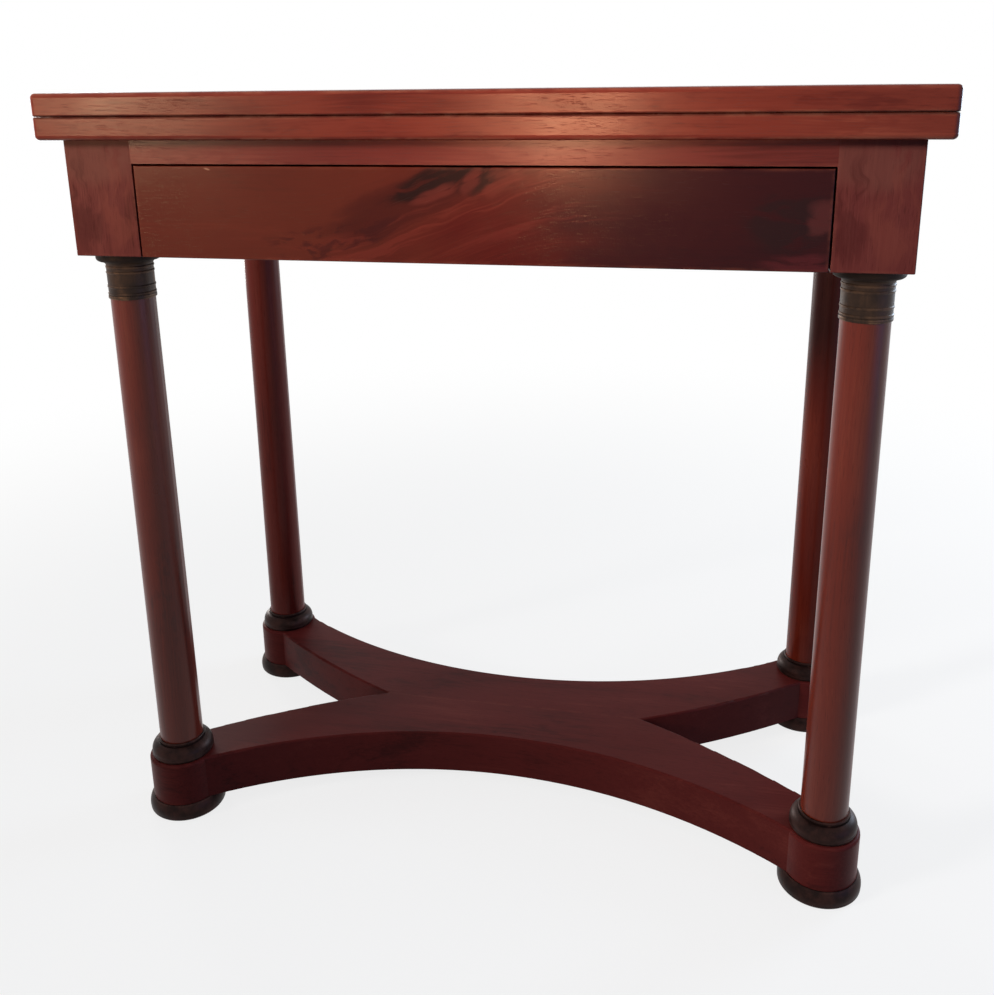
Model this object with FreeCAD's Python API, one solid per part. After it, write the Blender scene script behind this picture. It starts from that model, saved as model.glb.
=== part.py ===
import FreeCAD
import Part
import math
import os

# Fold-over games table: a top that turns and unfolds, on a frieze with one drawer, four turned columns
# and an X-shaped base. The origin is on the floor under the middle of the table. +X is right, +Y is back
# and +Z is up. All lengths are in millimetres.

V = FreeCAD.Vector

# Top: two leaves of one size, folded on each other
table_height = 750.0
leaf_thickness = 19.9
leaf_gap = 0.2
leaf_round = 4.0
leaf_corner = 4.5
leaf_arris = 1.8
front_overhang = 14.4
rear_overhang = 10.2
side_overhang = 19.1
top_clearance = 0.3

# Baize linings, let into the two playing faces
baize_thickness = 1.0
baize_border = 52.0
baize_joint_border = 3.0

# Frieze frame
frame_width = 729.2
frame_depth = 360.6
frieze_height = 103.3
post_width = 64.3
post_depth = 64.0
apron_thickness = 20.0
top_rail_height = 20.4
front_top_rail_depth = 50.0
lower_rail_depth = 40.0
lower_rail_thickness = 16.0
finger_lip = 12.0
finger_end_width = 9.0
frieze_arris = 1.0

# Mortise and tenon joints of the frame
tenon_length = 15.0
tenon_thickness = 8.0
tenon_shoulder = 8.0
tongue_length = 8.0

# Drawer and what carries it
drawer_front_thickness = 20.0
drawer_side_thickness = 12.0
drawer_back_thickness = 12.0
drawer_bottom_thickness = 7.0
drawer_groove_depth = 5.0
drawer_groove_rise = 4.0
drawer_gap_top = 1.8
drawer_gap_side = 1.5
drawer_gap_rear = 6.0
drawer_stop_gap = 0.3
drawer_runner_gap = 0.2
drawer_back_drop = 5.0
drawer_arris = 0.8
dovetail_count = 2
dovetail_slope = 0.16
dovetail_lap = 14.0
dovetail_root_share = 0.5
runner_width = 20.0
guide_height = 22.0

# Columns
column_inset_x = 29.8
column_inset_y = 36.4
column_radius_top = 20.7
column_radius_bottom = 22.2
column_head_tenon_radius = 11.0
column_head_tenon_length = 45.0
column_foot_tenon_radius = 12.0

# Bronze capitals
capital_height = 43.6
capital_bore_radius = 18.5
capital_band_radius = 21.5
capital_lip_radius = 21.9
capital_lip_height = 3.0
capital_bead_height = 2.8
capital_bead_bulge = 0.4
capital_lip_gap = 0.5
capital_collar_height = 3.9
capital_band_height = 10.7
capital_pair_gap = 2.2
capital_neck_height = 0.8
capital_flare_radius = 29.6
capital_abacus_height = 4.7
capital_lip_bulge = 0.12
capital_hollow_bulge = 0.3
capital_swell_bulge = 0.35
capital_turn_share = 0.62

# Bronze base rings
ring_height = 19.5
ring_bore_radius = 20.5
ring_cushion_radius = 31.6
ring_foot_inset = 0.8
ring_side_height = 4.6
ring_side_bulge = 0.25
ring_cushion_height = 15.6
ring_cushion_bulge = 0.34
ring_neck_radius = 24.6
ring_collar_radius = 23.6
ring_lip_height = 2.4
ring_lip_bulge = 0.5

# X-shaped base
base_thickness = 47.5
drum_radius = 34.8
drum_arris = 3.4
drum_web = 7.5
waist_half_depth = 62.6
notch_half_width = 150.0
arm_front_reach = 29.9
arm_front_angle = 53.3
arm_rear_reach = 23.0
arm_rear_angle = 53.0
arm_rear_radius = 965.0
arm_arris = 2.2
base_dowel_radius = 6.0
base_dowel_length = 56.0
base_dowel_count = 3

# Disc feet
foot_height = 17.5
foot_radius = 39.4
foot_top_radius = 35.6
foot_edge_height = 4.0
foot_edge_bulge = 0.35
foot_side_bulge = 0.22
foot_sole_inset = 2.4
foot_spigot_radius = 10.0
foot_spigot_height = 12.0

# Swivel of the top
pivot_rail_width = 60.0
pivot_plate_size = 78.0
pivot_plate_thickness = 4.0
pivot_plate_screw_inset = 13.0
pivot_bolt_radius = 6.0
pivot_bolt_head_radius = 14.0
pivot_bolt_head_height = 4.0
pivot_bolt_end = 1.0
pivot_bolt_chamfer = 0.8
pivot_washer_radius = 13.0
pivot_washer_thickness = 2.0
pivot_nut_flats = 19.0
pivot_nut_height = 7.0
pivot_recess_radius = 17.0
pivot_recess_margin = 0.6
bush_radius = 9.0
bush_flange_radius = 14.0
bush_flange_thickness = 1.5
running_clearance = 0.05
thrust_gap = 0.2

# Stops that end the quarter turn
stop_peg_radius = 5.0
stop_peg_drop = 10.0
stop_peg_hold = 8.0
stop_arm = 60.0
stop_start_angle = -53.0
swivel_angle = 90.0
stop_clearance = 0.3
stop_block_depth = 18.0
stop_block_height = 14.0
stop_block_margin = 6.0

# Side hinges of the leaves
hinge_length = 60.0
hinge_width = 12.0
hinge_thickness = 4.0
hinge_offset = 2.4
hinge_eye_radius = 4.0
hinge_eye_clearance = 0.3
hinge_eye_gap = 0.2
hinge_pin_radius = 1.75
hinge_screw_count = 3
hinge_screw_first = 14.0
hinge_screw_last = 10.0

# Slotted countersunk screws
hinge_screw_radius = 1.5
hinge_screw_head_radius = 2.8
hinge_screw_length = 18.0
plate_screw_radius = 2.2
plate_screw_head_radius = 4.4
plate_screw_length = 13.0
screw_slot_share = 0.28
screw_tip_share = 0.25

# Bulge of a quarter-round moulding, and how closely an edge has to match a plane
quarter_round = math.tan(math.radians(22.5))
edge_match = 0.01

# Levels and places that follow from the sizes above
half_width = frame_width / 2
half_depth = frame_depth / 2
half_top = half_width + side_overhang
upper_floor = table_height - leaf_thickness
lower_face = upper_floor - leaf_gap
lower_floor = lower_face - leaf_thickness
hinge_z = upper_floor - leaf_gap / 2
leaf_front = -half_depth - front_overhang
leaf_rear = half_depth + rear_overhang
hinge_y = leaf_rear + leaf_gap / 2
pivot_place = hinge_y / 2
frame_top = lower_floor - top_clearance
frieze_bottom = frame_top - frieze_height
top_rail_floor = frame_top - top_rail_height
opening_half = half_width - post_width
apron_inner_x = half_width - apron_thickness
apron_inner_y = half_depth - apron_thickness
post_inner_y = half_depth - post_depth
drum_top = foot_height + base_thickness
ring_top = drum_top + ring_height
capital_floor = frieze_bottom - capital_height
column_x = half_width - column_inset_x
column_y = half_depth - column_inset_y
column_foot_tenon_length = base_thickness - foot_spigot_height - drum_web
lower_rail_floor = frieze_bottom + finger_lip
lower_rail_top = lower_rail_floor + lower_rail_thickness
lower_rail_front = -half_depth + drawer_front_thickness + drawer_stop_gap
lower_rail_back = lower_rail_front + lower_rail_depth

CORNERS = {
    "front_left": (-1, -1),
    "front_right": (1, -1),
    "rear_left": (-1, 1),
    "rear_right": (1, 1),
}
SIDES = {"left": -1, "right": 1}

nodes = {}


def box(x, y, z):
    """Box between the two ends of each span, given in any order."""
    low = V(min(x), min(y), min(z))
    high = V(max(x), max(y), max(z))
    return Part.makeBox(high.x - low.x, high.y - low.y, high.z - low.z, low)


def rod_x(radius, x, y, z):
    """Round rod along X between the two ends of the span x."""
    return Part.makeCylinder(radius, max(x) - min(x), V(min(x), y, z), V(1, 0, 0))


def rod_z(radius, x, y, z):
    """Round rod along Z between the two ends of the span z."""
    return Part.makeCylinder(radius, max(z) - min(z), V(x, y, min(z)), V(0, 0, 1))


def about(middle, width):
    """Span of a width about its middle."""
    return (middle - width / 2, middle + width / 2)


def middle_of(span):
    """Middle of a span."""
    return (span[0] + span[1]) / 2


def fused(first, others):
    """One clean solid from pieces that overlap or share faces."""
    return first.fuse(others).removeSplitter()


def mirrored_x(shape):
    """The same shape on the other side of the table."""
    return shape.mirror(V(0, 0, 0), V(1, 0, 0))


def bulged_middle(start, end, bulge):
    """Middle point of an arc that leaves its chord to the right by bulge times half the chord."""
    run = end - start
    return (start + end) * 0.5 + V(run.y, -run.x, 0) * (bulge / 2)


def turned(profile, x=0.0, y=0.0):
    """Solid turned about a vertical axis. Each profile point is (radius, height), or (radius, height, bulge)
    where an arc leads to it; a positive bulge swells outwards where the profile runs upwards."""
    places = [V(point[0], point[1], 0) for point in profile]
    edges = []
    for index, point in enumerate(profile):
        start = places[index - 1]
        end = places[index]
        if len(point) == 3:
            edges.append(Part.Arc(start, bulged_middle(start, end, point[2]), end).toShape())
        else:
            edges.append(Part.LineSegment(start, end).toShape())
    face = Part.Face(Part.Wire(edges))
    solid = face.revolve(V(0, 0, 0), V(0, 1, 0), 360)
    solid.rotate(V(0, 0, 0), V(1, 0, 0), 90)
    solid.translate(V(x, y, 0))
    return solid


def rounded(shape, radius, chosen):
    """Shape with the edges that the test chooses rounded over."""
    return shape.makeFillet(radius, [edge for edge in shape.Edges if chosen(edge)])


def lies_at(edge, axis, value):
    """True if the whole edge lies in the plane where that coordinate has the value."""
    low = getattr(edge.BoundBox, axis + "Min")
    high = getattr(edge.BoundBox, axis + "Max")
    return abs(low - value) < edge_match and abs(high - value) < edge_match


def screw(place, outwards, radius, head_radius, length):
    """Slotted countersunk wood screw whose head face looks along outwards."""
    head_height = head_radius - radius
    tip = length * screw_tip_share
    profile = [(0, -length), (radius, tip - length), (radius, -head_height), (head_radius, 0), (0, 0)]
    slot = head_radius * screw_slot_share
    body = turned(profile).cut(box((-head_radius, head_radius), about(0, slot), (-slot, slot)))
    body.Placement = FreeCAD.Placement(place, FreeCAD.Rotation(V(0, 0, 1), outwards))
    return body


# Columns with their bronzes and feet


def column(x, y):
    """Tapered shaft with turned seats for its two bronzes and a round tenon at each end."""
    tenon_foot = drum_top - column_foot_tenon_length
    tenon_head = frieze_bottom + column_head_tenon_length
    return turned(
        [
            (0, tenon_foot),
            (column_foot_tenon_radius, tenon_foot),
            (column_foot_tenon_radius, drum_top),
            (ring_bore_radius, drum_top),
            (ring_bore_radius, ring_top),
            (column_radius_bottom, ring_top),
            (column_radius_top, capital_floor),
            (capital_bore_radius, capital_floor),
            (capital_bore_radius, frieze_bottom),
            (column_head_tenon_radius, frieze_bottom),
            (column_head_tenon_radius, tenon_head),
            (0, tenon_head),
        ],
        x,
        y,
    )


def bead(profile, root, gap, height):
    """Add a short fillet and then a shallow bead to a profile that runs upwards."""
    level = profile[-1][1] + gap
    profile.append((root, level))
    profile.append((root, level + height, capital_bead_bulge))


def capital(x, y):
    """Turned mount: lip, bead, narrow collar, bead, plain band, two beads, and an ogee flare up to the frieze."""
    lip_top = capital_floor + capital_lip_height
    band = capital_band_radius
    flare = capital_flare_radius
    profile = [(capital_bore_radius, capital_floor), (capital_lip_radius, capital_floor)]
    profile += [(capital_lip_radius, lip_top, capital_lip_bulge), (band, lip_top)]
    for gap in (capital_lip_gap, capital_collar_height, capital_band_height, capital_pair_gap):
        bead(profile, band, gap, capital_bead_height)
    neck = profile[-1][1] + capital_neck_height
    abacus = frieze_bottom - capital_abacus_height
    turn_radius = band + (flare - band) * capital_turn_share
    turn_level = (neck + abacus) / 2
    profile += [(band, neck), (turn_radius, turn_level, -capital_hollow_bulge)]
    profile += [(flare, abacus, capital_swell_bulge), (flare, frieze_bottom)]
    profile.append((capital_bore_radius, frieze_bottom))
    return turned(profile, x, y)


def base_ring(x, y):
    """Turned base: a cushion that rounds in from a low side to a collar with a small lip."""
    cushion_top = drum_top + ring_cushion_height
    lip_floor = ring_top - ring_lip_height
    profile = [(ring_bore_radius, drum_top), (ring_cushion_radius - ring_foot_inset, drum_top)]
    profile.append((ring_cushion_radius, drum_top + ring_side_height, ring_side_bulge))
    profile.append((ring_neck_radius, cushion_top, ring_cushion_bulge))
    profile += [(ring_collar_radius, cushion_top), (ring_collar_radius, lip_floor)]
    profile += [(ring_collar_radius, ring_top, ring_lip_bulge), (ring_bore_radius, ring_top)]
    return turned(profile, x, y)


def foot(x, y):
    """Flared disc with a rounded lower edge and a spigot that enters the drum."""
    spigot_top = foot_height + foot_spigot_height
    return turned(
        [
            (0, 0),
            (foot_radius - foot_sole_inset, 0),
            (foot_radius, foot_edge_height, foot_edge_bulge),
            (foot_top_radius, foot_height, foot_side_bulge),
            (foot_spigot_radius, foot_height),
            (foot_spigot_radius, spigot_top),
            (0, spigot_top),
        ],
        x,
        y,
    )


for corner, (side, end) in CORNERS.items():
    nodes["column_" + corner] = column(side * column_x, end * column_y)
    nodes["capital_" + corner] = capital(side * column_x, end * column_y)
    nodes["base_ring_" + corner] = base_ring(side * column_x, end * column_y)
    nodes["foot_" + corner] = foot(side * column_x, end * column_y)

# X-shaped base, in two halves that meet along the middle


def base_dowels():
    """Dowels across the middle joint of the base."""
    pitch = 2 * notch_half_width / base_dowel_count
    level = foot_height + base_thickness / 2
    start = -(base_dowel_count - 1) / 2
    dowels = []
    for index in range(base_dowel_count):
        place = V((start + index) * pitch, -base_dowel_length / 2, level)
        dowels.append(Part.makeCylinder(base_dowel_radius, base_dowel_length, place, V(0, 1, 0)))
    return dowels


def is_curved_top(edge):
    """True for the curved upper edges of the base's arms, but not for the joint in the middle."""
    return lies_at(edge, "Z", drum_top) and edge.Curve.TypeId != "Part::GeomLine"


def base_half():
    """Front half: two arms between a long concave edge and the side notches, with a drum at each end."""
    front_turn = math.radians(arm_front_angle)
    rear_turn = math.radians(arm_rear_angle)
    drum = V(column_x, -column_y, 0)
    front_end = drum - V(math.cos(front_turn), math.sin(front_turn), 0) * arm_front_reach
    rear_end = drum + V(math.cos(rear_turn), math.sin(rear_turn), 0) * arm_rear_reach
    notch = V(notch_half_width, 0, 0)
    chord = (notch - rear_end).Length
    sagitta = arm_rear_radius - math.sqrt(arm_rear_radius**2 - chord**2 / 4)
    rear_arc = Part.Arc(rear_end, bulged_middle(rear_end, notch, 2 * sagitta / chord), notch).toShape()
    front_left = V(-front_end.x, front_end.y, 0)
    front_arc = Part.Arc(front_left, V(0, -waist_half_depth, 0), front_end).toShape()
    seam = Part.LineSegment(notch, V(-notch.x, notch.y, 0)).toShape()
    tip = Part.LineSegment(front_end, rear_end).toShape()
    outline = [front_arc, tip, rear_arc, seam, mirrored_x(rear_arc), mirrored_x(tip)]
    arms = Part.Face(Part.Wire(Part.sortEdges(outline)[0])).extrude(V(0, 0, base_thickness))
    arms.translate(V(0, 0, foot_height))
    arms = rounded(arms, arm_arris, is_curved_top)
    drum_profile = [(0, foot_height), (drum_radius, foot_height), (drum_radius, drum_top - drum_arris)]
    drum_profile += [(drum_radius - drum_arris, drum_top, quarter_round), (0, drum_top)]
    drums = [turned(drum_profile, side * column_x, -column_y) for side in SIDES.values()]
    return fused(arms, drums)


dowels = base_dowels()
front_base = base_half()
rear_base = front_base.mirror(V(0, 0, 0), V(0, 1, 0))
for end_name, half in {"front": front_base, "rear": rear_base}.items():
    fitted = [nodes[kind + end_name + "_" + side] for kind in ("column_", "foot_") for side in SIDES]
    nodes["base_" + end_name] = half.cut(fitted + dowels)
nodes["base_dowels"] = Part.makeCompound(dowels)

# Rails of the frieze, tenoned into the corner posts


def rail_x(y, z, tenon_y, tenon_z):
    """Rail between the posts along X with a tenon at each end."""
    body = box((-opening_half, opening_half), y, z)
    reach = opening_half + tenon_length
    return fused(body, [box((-reach, reach), tenon_y, tenon_z)])


def shouldered(span):
    """Span of a tenon that stands back from both edges of its rail."""
    return (span[0] + tenon_shoulder, span[1] - tenon_shoulder)


def at_arris(axis, value):
    """Test for the lower outer edge of a frieze board whose face lies in that plane."""
    return lambda edge: lies_at(edge, "Z", frieze_bottom) and lies_at(edge, axis, value)


top_rail_y = (-half_depth, -half_depth + front_top_rail_depth)
top_rail_z = (top_rail_floor, frame_top)
top_rail_tenon_z = about(middle_of(top_rail_z), tenon_thickness)
front_top_rail = rail_x(top_rail_y, top_rail_z, shouldered(top_rail_y), top_rail_tenon_z)

lower_rail_y = (lower_rail_front, lower_rail_back)
lower_rail_z = (lower_rail_floor, lower_rail_top)
lower_rail_tenon_z = about(middle_of(lower_rail_z), tenon_thickness)
front_lower_rail = rail_x(lower_rail_y, lower_rail_z, shouldered(lower_rail_y), lower_rail_tenon_z)
for side in SIDES.values():
    end_x = (side * (opening_half - finger_end_width), side * opening_half)
    end_z = (frieze_bottom, lower_rail_floor)
    front_lower_rail = fused(front_lower_rail, [box(end_x, lower_rail_y, end_z)])

rear_rail_y = (apron_inner_y, half_depth)
frieze_z = (frieze_bottom, frame_top)
rear_rail_tenon_y = about(middle_of(rear_rail_y), tenon_thickness)
rear_rail = rail_x(rear_rail_y, frieze_z, rear_rail_tenon_y, shouldered(frieze_z))
rear_rail = rounded(rear_rail, frieze_arris, at_arris("Y", half_depth))


def side_rail(side):
    """Side board between the front and rear posts, tenoned along Y."""
    x = (side * apron_inner_x, side * half_width)
    reach = post_inner_y + tenon_length
    body = box(x, (-post_inner_y, post_inner_y), frieze_z)
    tenon = box(about(middle_of(x), tenon_thickness), (-reach, reach), shouldered(frieze_z))
    return rounded(fused(body, [tenon]), frieze_arris, at_arris("X", side * half_width))


side_rails = {name: side_rail(side) for name, side in SIDES.items()}

# Inner rails that run from front to back


def inner_rail(x, front, z):
    """Rail from a front rail to the rear rail, with a tongue let into each."""
    y = (front, apron_inner_y)
    body = box(x, y, z)
    tongue_y = (y[0] - tongue_length, y[1] + tongue_length)
    return fused(body, [box(x, tongue_y, about(middle_of(z), tenon_thickness))])


pivot_rail = inner_rail(about(pivot_place, pivot_rail_width), top_rail_y[1], top_rail_z)
runners = {}
kickers = {}
for name, side in SIDES.items():
    strip = (side * (opening_half - runner_width), side * opening_half)
    strip = (min(strip), max(strip))
    runners[name] = inner_rail(strip, lower_rail_back, lower_rail_z)
    kickers[name] = inner_rail(strip, top_rail_y[1], top_rail_z)
    guide_x = (side * opening_half, side * apron_inner_x)
    guide_z = (lower_rail_floor, lower_rail_top + guide_height)
    nodes["drawer_guide_" + name] = box(guide_x, (-post_inner_y, post_inner_y), guide_z)
    nodes["drawer_runner_" + name] = runners[name]
    nodes["drawer_kicker_" + name] = kickers[name]
    nodes["side_rail_" + name] = side_rails[name]

nodes["front_top_rail"] = front_top_rail.cut([pivot_rail] + list(kickers.values()))
nodes["front_lower_rail"] = front_lower_rail.cut(list(runners.values()))
nodes["rear_rail"] = rear_rail.cut([pivot_rail] + list(kickers.values()) + list(runners.values()))


def corner_post(corner, side, end):
    """Post of the frieze, mortised for its rails and bored for the column's head."""
    x = (side * opening_half, side * half_width)
    y = (end * post_inner_y, end * half_depth)
    body = box(x, y, frieze_z)
    face_x = side * half_width
    face_y = end * half_depth
    tests = [at_arris("X", face_x), at_arris("Y", face_y)]
    tests.append(lambda edge: lies_at(edge, "X", face_x) and lies_at(edge, "Y", face_y))
    body = rounded(body, frieze_arris, lambda edge: any(test(edge) for test in tests))
    rails = [front_top_rail, front_lower_rail] if end < 0 else [rear_rail]
    return body.cut(rails + [side_rails[corner.split("_")[1]], nodes["column_" + corner]])


for corner, (side, end) in CORNERS.items():
    nodes["corner_post_" + corner] = corner_post(corner, side, end)

# Swivel: bush, bolt, washer and nut on the pivot rail, and the plate let into the lower leaf

recess_stack = bush_flange_thickness + thrust_gap + pivot_washer_thickness + pivot_nut_height
recess_depth = recess_stack + pivot_bolt_end + pivot_recess_margin
recess_ceiling = top_rail_floor + recess_depth
flange_floor = recess_ceiling - bush_flange_thickness
washer_top = flange_floor - thrust_gap
washer_floor = washer_top - pivot_washer_thickness
nut_floor = washer_floor - pivot_nut_height
bolt_tip = nut_floor - pivot_bolt_end
plate_top = lower_floor + pivot_plate_thickness
bolt_head_top = plate_top + pivot_bolt_head_height

bush_bore = pivot_bolt_radius + running_clearance
nodes["pivot_bush"] = turned(
    [
        (bush_bore, flange_floor),
        (bush_flange_radius, flange_floor),
        (bush_flange_radius, recess_ceiling),
        (bush_radius, recess_ceiling),
        (bush_radius, frame_top),
        (bush_bore, frame_top),
    ],
    pivot_place,
    pivot_place,
)
recess = rod_z(pivot_recess_radius, pivot_place, pivot_place, (top_rail_floor, recess_ceiling))
bush_hole = rod_z(bush_radius, pivot_place, pivot_place, top_rail_z)
nodes["pivot_rail"] = pivot_rail.cut([recess, bush_hole])

nodes["pivot_bolt"] = turned(
    [
        (0, bolt_tip),
        (pivot_bolt_radius - pivot_bolt_chamfer, bolt_tip),
        (pivot_bolt_radius, bolt_tip + pivot_bolt_chamfer),
        (pivot_bolt_radius, plate_top),
        (pivot_bolt_head_radius, plate_top),
        (pivot_bolt_head_radius, bolt_head_top),
        (0, bolt_head_top),
    ],
    pivot_place,
    pivot_place,
)


def hexagon(flats, z):
    """Hexagonal prism about the pivot's axis."""
    turn = math.radians(360 / 6)
    reach = flats / 2 / math.cos(turn / 2)
    corners = [V(reach * math.cos(turn * index), reach * math.sin(turn * index), 0) for index in range(6)]
    prism = Part.Face(Part.makePolygon(corners + corners[:1])).extrude(V(0, 0, z[1] - z[0]))
    prism.translate(V(pivot_place, pivot_place, z[0]))
    return prism


shank = rod_z(pivot_bolt_radius, pivot_place, pivot_place, (bolt_tip, plate_top))
washer = rod_z(pivot_washer_radius, pivot_place, pivot_place, (washer_floor, washer_top))
nodes["pivot_washer"] = washer.cut(shank)
nodes["pivot_nut"] = hexagon(pivot_nut_flats, (nut_floor, washer_floor)).cut(shank)

plate_span = about(pivot_place, pivot_plate_size)
plate_screws = []
screw_reach = pivot_plate_size / 2 - pivot_plate_screw_inset
for side, end in CORNERS.values():
    place = V(pivot_place + side * screw_reach, pivot_place + end * screw_reach, lower_floor)
    sizes = (plate_screw_radius, plate_screw_head_radius, plate_screw_length)
    plate_screws.append(screw(place, V(0, 0, -1), *sizes))
plate = box(plate_span, plate_span, (lower_floor, plate_top))
nodes["pivot_plate"] = plate.cut([shank] + plate_screws)
nodes["pivot_plate_screws"] = Part.makeCompound(plate_screws)

# Stop peg under the lower leaf, and the two blocks that it meets at the ends of the quarter turn


def peg_place(angle):
    """Place of the peg's axis when it stands at that angle about the pivot."""
    turn = math.radians(angle)
    return V(pivot_place + stop_arm * math.cos(turn), pivot_place + stop_arm * math.sin(turn), 0)


peg_start = peg_place(stop_start_angle)
peg_end = peg_place(stop_start_angle + swivel_angle)
peg_z = (lower_floor - stop_peg_drop, lower_floor + stop_peg_hold)
nodes["stop_peg"] = rod_z(stop_peg_radius, peg_start.x, peg_start.y, peg_z)
block_root = pivot_place + pivot_rail_width / 2
block_z = (frame_top - stop_block_height, frame_top)
block_reach = stop_peg_radius + stop_block_margin
closed_face = peg_start.y - stop_peg_radius - stop_clearance
open_face = peg_end.y + stop_peg_radius + stop_clearance
closed_y = (closed_face - stop_block_depth, closed_face)
closed_block = box((block_root, peg_start.x + block_reach), closed_y, block_z)
open_block = box((block_root, peg_end.x + block_reach), (open_face, apron_inner_y), block_z)
nodes["stop_blocks"] = Part.makeCompound([closed_block, open_block])

# Hinges let into the side edges of the leaves at their rear corners; level is -1 below and 1 above

eye_middle = half_top - hinge_thickness / 2
eye_inner = (half_top - hinge_thickness, eye_middle - hinge_eye_gap / 2)
eye_outer = (eye_middle + hinge_eye_gap / 2, half_top)
eye_room = hinge_eye_radius + hinge_eye_clearance


def hinge_strip(level):
    """Right-hand strip of a hinge before its eye is shaped."""
    z = (hinge_z + level * hinge_offset, hinge_z + level * (hinge_offset + hinge_width))
    return box((half_top - hinge_thickness, half_top), (leaf_rear - hinge_length, leaf_rear), z)


def hinge_screws(level):
    """Right-hand screws of one strip."""
    z = hinge_z + level * (hinge_offset + hinge_width / 2)
    run = hinge_length - hinge_screw_first - hinge_screw_last
    pitch = run / (hinge_screw_count - 1)
    sizes = (hinge_screw_radius, hinge_screw_head_radius, hinge_screw_length)
    screws = []
    for index in range(hinge_screw_count):
        place = V(half_top, leaf_rear - hinge_screw_first - index * pitch, z)
        screws.append(screw(place, V(1, 0, 0), *sizes))
    return screws


def hinge_plate(level):
    """Right-hand plate: the strip, its own eye, and room for the other plate's eye."""
    own, other = (eye_inner, eye_outer) if level < 0 else (eye_outer, eye_inner)
    hole = hinge_pin_radius if level < 0 else hinge_pin_radius + running_clearance
    room_x = (other[0] - hinge_eye_gap, other[1] + hinge_eye_gap)
    strip = hinge_strip(level).cut(rod_x(eye_room, room_x, hinge_y, hinge_z))
    eye = rod_x(hinge_eye_radius, own, hinge_y, hinge_z)
    bore = rod_x(hole, (half_top - hinge_thickness, half_top), hinge_y, hinge_z)
    return fused(strip, [eye]).cut([bore] + hinge_screws(level))


def both_sides(shapes):
    """Right-hand shapes and their left-hand mirror images."""
    return shapes + [mirrored_x(shape) for shape in shapes]


pin = rod_x(hinge_pin_radius, (half_top - hinge_thickness, half_top), hinge_y, hinge_z)
nodes["hinge_pins"] = Part.makeCompound(both_sides([pin]))
for level_name, level in {"lower": -1, "upper": 1}.items():
    right_plate = hinge_plate(level)
    nodes["hinge_plate_" + level_name + "_right"] = right_plate
    nodes["hinge_plate_" + level_name + "_left"] = mirrored_x(right_plate)
    nodes["hinge_screws_" + level_name] = Part.makeCompound(both_sides(hinge_screws(level)))

# Leaves and their linings

lining_x = (-half_top + baize_border, half_top - baize_border)
lining_y = (leaf_front + baize_border, leaf_rear - baize_joint_border)
nodes["lower_baize"] = box(lining_x, lining_y, (lower_face - baize_thickness, lower_face))
nodes["upper_baize"] = box(lining_x, lining_y, (upper_floor, upper_floor + baize_thickness))


def is_front_corner(edge):
    """True for the two upright edges at the front of a leaf."""
    return lies_at(edge, "Y", leaf_front) and edge.BoundBox.XLength < edge_match


def leaf(z, level):
    """Board let in for its hinges. Its outer face is well rounded at the front and the ends, and its other edges
    have small arrises."""
    inner, outer = z if level > 0 else (z[1], z[0])
    board = box((-half_top, half_top), (leaf_front, leaf_rear), z)
    board = rounded(board, leaf_corner, is_front_corner)
    board = rounded(board, leaf_round, lambda edge: lies_at(edge, "Z", outer) and not lies_at(edge, "Y", leaf_rear))
    board = rounded(board, leaf_arris, lambda edge: lies_at(edge, "Z", inner) or lies_at(edge, "Y", leaf_rear))
    room_x = (half_top - hinge_thickness - hinge_eye_gap, half_top + hinge_thickness)
    cuts = [hinge_strip(level), rod_x(eye_room, room_x, hinge_y, hinge_z)] + hinge_screws(level)
    return board.cut(both_sides(cuts))


bolt_hole = rod_z(pivot_bolt_head_radius, pivot_place, pivot_place, (lower_floor, bolt_head_top))
lower_cuts = [nodes["lower_baize"], plate, bolt_hole, nodes["stop_peg"]] + plate_screws
nodes["lower_leaf"] = leaf((lower_floor, lower_face), -1).cut(lower_cuts)
nodes["upper_leaf"] = leaf((upper_floor, table_height), 1).cut(nodes["upper_baize"])

# Drawer

drawer_half = opening_half - drawer_gap_side
drawer_face = -half_depth
drawer_front_back = drawer_face + drawer_front_thickness
drawer_rear = apron_inner_y - drawer_gap_rear
drawer_back_front = drawer_rear - drawer_back_thickness
drawer_floor = lower_rail_top + drawer_runner_gap
drawer_top = top_rail_floor - drawer_gap_top
bottom_floor = drawer_floor + drawer_groove_rise
bottom_top = bottom_floor + drawer_bottom_thickness
side_inner = drawer_half - drawer_side_thickness


def tails(x, root, tip, z):
    """Dovetails on a drawer side, from the root plane to the tip plane, spread evenly over the span z."""
    pitch = (z[1] - z[0]) / dovetail_count
    narrow = pitch * dovetail_root_share / 2
    wide = narrow + abs(tip - root) * dovetail_slope
    found = []
    for index in range(dovetail_count):
        level = z[0] + (index + 0.5) * pitch
        corners = [(root, level - narrow), (tip, level - wide), (tip, level + wide), (root, level + narrow)]
        points = [V(x[0], y, height) for y, height in corners]
        face = Part.Face(Part.makePolygon(points + points[:1]))
        found.append(face.extrude(V(x[1] - x[0], 0, 0)))
    return found


drawer_bottom_x = (-side_inner - drawer_groove_depth, side_inner + drawer_groove_depth)
drawer_bottom_y = (drawer_front_back - drawer_groove_depth, drawer_rear)
drawer_bottom = box(drawer_bottom_x, drawer_bottom_y, (bottom_floor, bottom_top))
back_z = (bottom_top, drawer_top - drawer_back_drop)


def drawer_side():
    """Right-hand side with its tails, grooved for the bottom."""
    x = (side_inner, drawer_half)
    z = (drawer_floor, drawer_top)
    board = box(x, (drawer_front_back, drawer_back_front), z)
    tail_tip = drawer_front_back - dovetail_lap
    front_tails = tails(x, drawer_front_back, tail_tip, (bottom_top, drawer_top))
    rear_tails = tails(x, drawer_back_front, drawer_rear, back_z)
    return fused(board, front_tails + rear_tails).cut(drawer_bottom)


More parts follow.
